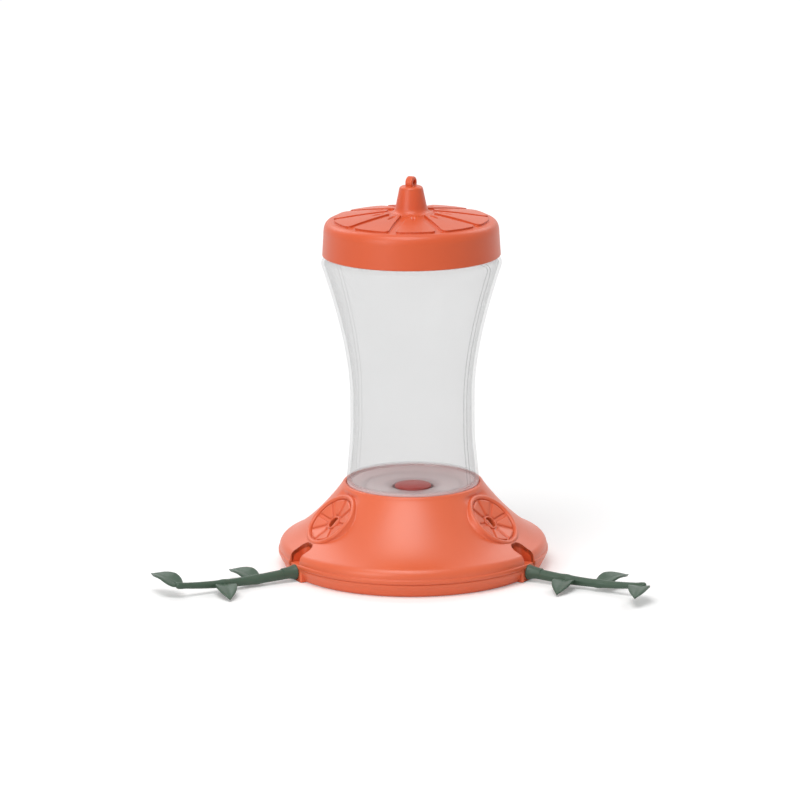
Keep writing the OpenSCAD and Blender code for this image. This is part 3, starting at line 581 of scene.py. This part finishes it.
for v in bottle.verts:
    azimuth = atan2(v.co.y, v.co.x)
    r, z = hypot(v.co.x, v.co.y) / mm, v.co.z / mm
    if 58 < z < 185 and min(abs(azimuth - radians(a)) for a in (-30, -29, 150, 151)) < 0.002:
        if any(abs(z - wz) < 0.01 and abs(r - wr) < 0.01 for wr, wz in side_wall):
            v.co.x *= (r + mould_line) / r
            v.co.y *= (r + mould_line) / r


def thread(section, start_z, turns, base_r, lead=6.0, steps=96):
    """A screw thread: a section in mm carried round and up, fading out at both ends."""
    bm = bmesh.new()
    wire = [bm.verts.new((r * mm, 0, (start_z + z) * mm)) for r, z in section]
    for a, b in zip(wire, wire[1:] + wire[:1]):
        bm.edges.new((a, b))
    bmesh.ops.spin(bm, geom=bm.verts[:] + bm.edges[:], cent=(0, 0, 0), axis=(0, 0, 1),
                   dvec=(0, 0, lead / steps * mm), angle=2 * pi * turns, steps=int(steps * turns), use_merge=False)
    bmesh.ops.holes_fill(bm, edges=[e for e in bm.edges if e.is_boundary], sides=0)
    for v in bm.verts:
        along = (v.co.z / mm - start_z) / (lead * turns)
        fade = max(0.05, min(1.0, along * 12, (1 - along) * 12))
        r = hypot(v.co.x, v.co.y) / mm
        goal = base_r + (r - base_r) * fade
        v.co.x *= goal / r
        v.co.y *= goal / r
    bmesh.ops.recalc_face_normals(bm, faces=bm.faces[:])
    return bm


mouth_thread = thread([(48.2, -1.3), (49.6, -0.5), (49.6, 0.5), (48.2, 1.3)], 196.5, 1.4, 48.2)
clear_plastic = bpy.data.materials.new("clear plastic")
clear_plastic.use_nodes = True
tree = clear_plastic.node_tree
glassy = tree.nodes["Principled BSDF"]
glassy.inputs["Roughness"].default_value = 0.06
glassy.inputs["IOR"].default_value = 1.45
where, ripple, waviness, split, floor_zone, wall_grey_and_painted_pink = laid_out(
    tree, "TexCoord", "TexNoise", "Bump", "SeparateXYZ", "MapRange", "Mix")
place = where.outputs["Object"]
ripple.inputs["Scale"].default_value = 28.0
ripple.inputs["Detail"].default_value = 1.0
waviness.inputs["Strength"].default_value = 0.35
waviness.inputs["Distance"].default_value = 0.0006
# painted light: the floor is tinted pink for the orange below that shows through it; grey in the walls above
ranged(floor_zone, 0.0525, 0.0545, 0.0, 1.0)
wall_grey_and_painted_pink.data_type = "RGBA"
wall_grey_and_painted_pink.inputs[6].default_value = (1.0, 0.83, 0.83, 1)
wall_grey_and_painted_pink.inputs[7].default_value = (0.17, 0.18, 0.185, 1)
wired(tree, (place, ripple.inputs["Vector"]), (ripple.outputs["Fac"], waviness.inputs["Height"]),
      (waviness.outputs["Normal"], glassy.inputs["Normal"]), (place, split.inputs[0]),
      (split.outputs["Z"], floor_zone.inputs["Value"]), (floor_zone.outputs["Result"], wall_grey_and_painted_pink.inputs[0]),
      (wall_grey_and_painted_pink.outputs[2], glassy.inputs["Base Color"]))
# milky in the floor, clearer over the valve's well, and clearest in the walls
flat, spread, well, haze = laid_out(tree, "VectorMath", "VectorMath", "MapRange", "MapRange")
flat.operation = "MULTIPLY"
flat.inputs[1].default_value = (1, 1, 0)
spread.operation = "LENGTH"
ranged(well, 0.011, 0.019, 0.21, 0.55)
ranged(haze, 0.0, 1.0, 0.0, 0.095)
wired(tree, (place, flat.inputs[0]), (flat.outputs["Vector"], spread.inputs[0]),
      (spread.outputs["Value"], well.inputs["Value"]), (well.outputs["Result"], haze.inputs["To Min"]),
      (floor_zone.outputs["Result"], haze.inputs["Value"]))
# denser where the wall is seen edge on, and a little uneven
facing, edge, thick, veil = laid_out(tree, "LayerWeight", "Math", "Math", "Math")
facing.inputs["Blend"].default_value = 0.5
edge.operation = "POWER"
edge.inputs[1].default_value = 4.0
thick.operation = veil.operation = "MULTIPLY_ADD"
thick.inputs[1].default_value = 0.27
veil.inputs[1].default_value = 0.02
wired(tree, (facing.outputs["Facing"], edge.inputs[0]), (edge.outputs[0], thick.inputs[0]),
      (haze.outputs["Result"], thick.inputs[2]), (ripple.outputs["Fac"], veil.inputs[0]),
      (thick.outputs[0], veil.inputs[2]))
# the two mould lines, one plainer than the other
line_turn = radians(29.5)
across, apart, side, near, seam, seam_zone, seamed = laid_out(
    tree, "VectorMath", "Math", "VectorMath", "MapRange", "MapRange", "Math", "Math")
across.operation = side.operation = "DOT_PRODUCT"
across.inputs[1].default_value = (sin(line_turn), cos(line_turn), 0)
side.inputs[1].default_value = (cos(line_turn), -sin(line_turn), 0)
apart.operation = "ABSOLUTE"
ranged(near, -0.02, 0.02, 0.10, 0.34)
ranged(seam, 0.0002, 0.0006, 0.30, 0.0)
seam_zone.operation = "MULTIPLY"
seamed.operation = "ADD"
wired(tree, (place, across.inputs[0]), (across.outputs["Value"], apart.inputs[0]),
      (apart.outputs[0], seam.inputs["Value"]), (place, side.inputs[0]),
      (side.outputs["Value"], near.inputs["Value"]), (near.outputs["Result"], seam.inputs["To Min"]),
      (seam.outputs["Result"], seam_zone.inputs[0]), (floor_zone.outputs["Result"], seam_zone.inputs[1]),
      (seam_zone.outputs[0], seamed.inputs[0]), (veil.outputs[0], seamed.inputs[1]),
      (seamed.outputs[0], glassy.inputs["Alpha"]))
settled(joined(bottle, mouth_thread), "clear_bottle", "bottle", "reservoir", clear_plastic)

# Lid gasket: a flat off-white ring that lies on the bottle's mouth and is pressed by the lid.
# Its CAD ring has the right form and stays.
gasket_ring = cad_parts["lid_gasket"]
gasket_ring.data.materials.clear()
gasket_ring.data.materials.append(silicone)

# Lid: a screw lid moulded in orange polypropylene. Its top carries ten raised orange-slice
# segments with a seed mark each, and in the middle a hollow tapered knob with the hanging eye.
lid_r, lid_z, slice_z, knob_z, knob_top, knob_top_r = 53.8, 192.4, 214.6, 219.0, 234.2, 6.85
slice_r, slice_start, slice_h, slice_gap, slice_corner = 46.7, 15.0, 1.2, 5.0, 3.0
seed_x, seed_l, seed_w, seed_depth = 6.4, 4.2, 1.3, 1.2
gasket_in, gasket_z, knob_in, eye_r, eye_hole_r, eye_w = 44.2, 210.6, 6.6, 3.9, 1.85, 2.3
dome_top = curve((slice_r, slice_z), (slice_r * 0.77, slice_z + 1.716), (slice_r * 0.51, knob_z - 0.88),
                 (12.2, knob_z), 30)


def lid_level(r):
    """Height of the slices' tops at the radius r."""
    for (r1, z1), (r2, z2) in zip(dome_top, dome_top[1:]):
        if r2 <= r <= r1:
            return z1 + (z2 - z1) * (r1 - r) / (r1 - r2)
    return dome_top[0][1] - (r - slice_r) * 0.16 if r > slice_r else knob_z


under = [(r, z - slice_h - wall) for r, z in dome_top if r < gasket_in - 1]
lid_shell = turned([(51.6, lid_z + 0.3), (51.9, lid_z), (lid_r - 0.3, lid_z), (lid_r, lid_z + 0.3), (53.05, 204.1)]
                   + curve((52.95, 206.1), (52.9, 211.0), (51.2, 213.7), (47.3, 213.5), 16)
                   + [(r, z - slice_h) for r, z in dome_top] + [(knob_in, 217.8), (knob_in, 215.6)] + under[::-1]
                   + [(gasket_in, gasket_z + 0.3), (gasket_in, gasket_z), (50.6, gasket_z), (51.4, 209.4)], steps=256)


def lid_slice(index):
    """One raised slice: a grid on its plan, laid on the dome, with its seed pressed in and its rim rounded."""
    bm = bmesh.new()
    bmesh.ops.create_grid(bm, x_segments=80, y_segments=26, size=0.5)
    lean = pi / 10
    for v in bm.verts:
        t, s = v.co.x + 0.5, v.co.y * 2
        x = slice_start + (slice_r - slice_start) * (1 - (1 - t) ** 1.3)
        half = x * tan(lean) - slice_gap / 2 / cos(lean)
        past = x - (slice_r - slice_corner)
        if past > 0:
            half -= slice_corner - sqrt(max(0.0, slice_corner ** 2 - past ** 2))
        y = s * half
        x -= (x - sqrt(x * x - y * y)) * rise(26, slice_r, x)
        along, aside = (x - slice_start - seed_x) / seed_l, y / seed_w
        hollow = max(0.0, 1 - along ** 2 - (aside * (1 + 0.35 * along)) ** 2)
        v.co = Vector((x, y, lid_level(hypot(x, y)) - seed_depth * min(1.0, 1.3 * hollow))) * mm
    return placed(thickened(bm, 1.9, 0.75, 4, 60), Matrix.Rotation(radians(-85.5 + 36 * index), 4, "Z"))


knob = turned([(0, 216.9), (12.9, 216.9)]
              + curve((13.0, knob_z - 1.15), (11.4, knob_z - 0.75), (9.9, knob_z + 0.4), (9.4, knob_z + 2.8), 10)
              + [(knob_top_r, knob_top), (0, knob_top)], [((knob_top_r, knob_top), 1.6)], 96)
hollow = turned([(0, 209), (knob_in, 209), (4.0, 227), (0, 227)], steps=64)
knob = carved(knob, hollow)
eye = turned([(eye_hole_r, eye_w), (eye_r, eye_w), (eye_r, -eye_w), (eye_hole_r, -eye_w)],
             [((eye_hole_r, eye_w), 0.5), ((eye_r, eye_w), 0.9), ((eye_r, -eye_w), 0.9),
              ((eye_hole_r, -eye_w), 0.5)], 64)
foot = raised([(0.8, -3.6), (3.6, -3.6), (3.6, 3.6), (0.8, 3.6)], -1.7, 1.7, 0.3)
eye_place = Matrix.Rotation(radians(-25), 4, "Z") @ Matrix.Translation((0, 0, 236.1 * mm)) @ upright
eye = placed(joined(eye, foot), eye_place)
lid_thread = thread([(51.9, -1.3), (50.2, -0.5), (50.2, 0.5), (51.9, 1.3)], 197.5, 1.2, 51.9)
# painted shade: the lid's orange is set darker than the cover's to make up for the stronger light on the lid's side
lid_orange_with_painted_shade = plastic("lid orange with painted shade", (0.65, 0.094, 0.024), (0.61, 0.084, 0.020), 0.30, 0.14, 2600, 0.5)
settled(joined(lid_shell, knob, eye, lid_thread, *[lid_slice(k) for k in range(10)]), "slice_lid", "cap", "lid",
        lid_orange_with_painted_shade)

# Studio: a pale paper floor in a plain white room with four round soft lamps, and the camera in
# front and slightly above, at the angle and framing of the photograph.
sheet = bmesh.new()
bmesh.ops.create_grid(sheet, x_segments=1, y_segments=1, size=6)
floor_mesh = bpy.data.meshes.new("floor")
sheet.to_mesh(floor_mesh)
sheet.free()
floor = bpy.data.objects.new("floor", floor_mesh)
bpy.context.scene.collection.objects.link(floor)


def seen_directly(tree):
    """1 for rays of the camera, and for those that plastic and glass reflect or let through."""
    path, first, both = laid_out(tree, "LightPath", "Math", "Math")
    first.operation = both.operation = "MAXIMUM"
    wired(tree, (path.outputs["Is Camera Ray"], first.inputs[0]), (path.outputs["Is Glossy Ray"], first.inputs[1]),
          (first.outputs[0], both.inputs[0]), (path.outputs["Is Transmission Ray"], both.inputs[1]))
    return both.outputs[0]


paper = bpy.data.materials.new("pale paper")
paper.use_nodes = True
tree = paper.node_tree
tree.nodes.clear()
out, dull, glow, dark, mix, add, spot, far, reach = laid_out(
    tree, "OutputMaterial", "BsdfDiffuse", "Emission", "Emission", "MixShader", "AddShader",
    "TexCoord", "VectorMath", "MapRange")
dull.inputs["Color"].default_value = (0.90, 0.90, 0.90, 1)
dark.inputs["Strength"].default_value = 0.0
far.operation = "LENGTH"
ranged(reach, 0.2, 2.2, 0.17, 0.66)
wired(tree, (spot.outputs["Object"], far.inputs[0]), (far.outputs["Value"], reach.inputs["Value"]),
      (reach.outputs["Result"], glow.inputs["Strength"]), (seen_directly(tree), mix.inputs[0]),
      (dark.outputs[0], mix.inputs[1]), (glow.outputs[0], mix.inputs[2]), (dull.outputs[0], add.inputs[0]),
      (mix.outputs[0], add.inputs[1]), (add.outputs[0], out.inputs["Surface"]))
floor_mesh.materials.append(paper)

studio = bpy.data.worlds.new("studio")
bpy.context.scene.world = studio
studio.use_nodes = True
tree = studio.node_tree
tree.nodes.clear()
out, room, white, mix = laid_out(tree, "OutputWorld", "Background", "Background", "MixShader")
for light, strength in ((room, 0.38), (white, 1.0)):
    light.inputs["Color"].default_value = (1, 1, 1, 1)
    light.inputs["Strength"].default_value = strength
wired(tree, (seen_directly(tree), mix.inputs[0]), (room.outputs[0], mix.inputs[1]),
      (white.outputs[0], mix.inputs[2]), (mix.outputs[0], out.inputs["Surface"]))

for name, place, size, power in (("overhead", (-0.14, -0.50, 1.2), 0.85, 8.5), ("front left", (-1.1, -1.5, 0.8), 1.0, 9),
                                 ("back left", (-0.9, 1.0, 1.2), 0.9, 5), ("back right", (0.9, 1.0, 1.2), 0.9, 5)):
    diffuser = bpy.data.lights.new(name, "AREA")
    diffuser.shape = "DISK"
    diffuser.size = size
    diffuser.energy = power
    lamp = bpy.data.objects.new(name, diffuser)
    bpy.context.scene.collection.objects.link(lamp)
    lamp.location = place
    lamp.rotation_euler = (Vector((0, 0, 0.1)) - Vector(place)).to_track_quat("-Z", "Y").to_euler()

lean, turn, roll = radians(13.0), radians(1.3), radians(-0.35)
aim, distance = Vector((0, 0, 0.10235)), 2.428
lens = bpy.data.cameras.new("camera")
lens.lens = 180
lens.sensor_width = 36
lens.shift_x = -12.4 / 800
lens.clip_end = 50
camera = bpy.data.objects.new("camera", lens)
bpy.context.scene.collection.objects.link(camera)
round_to = Matrix.Rotation(turn, 3, "Z")
camera.location = aim + round_to @ (distance * Vector((0, -cos(lean), sin(lean))))
camera.rotation_euler = (round_to @ Matrix.Rotation(radians(90) - lean, 3, "X")
                         @ Matrix.Rotation(roll, 3, "Z")).to_euler()
bpy.context.scene.camera = camera
bpy.context.scene.view_settings.view_transform = "Standard"
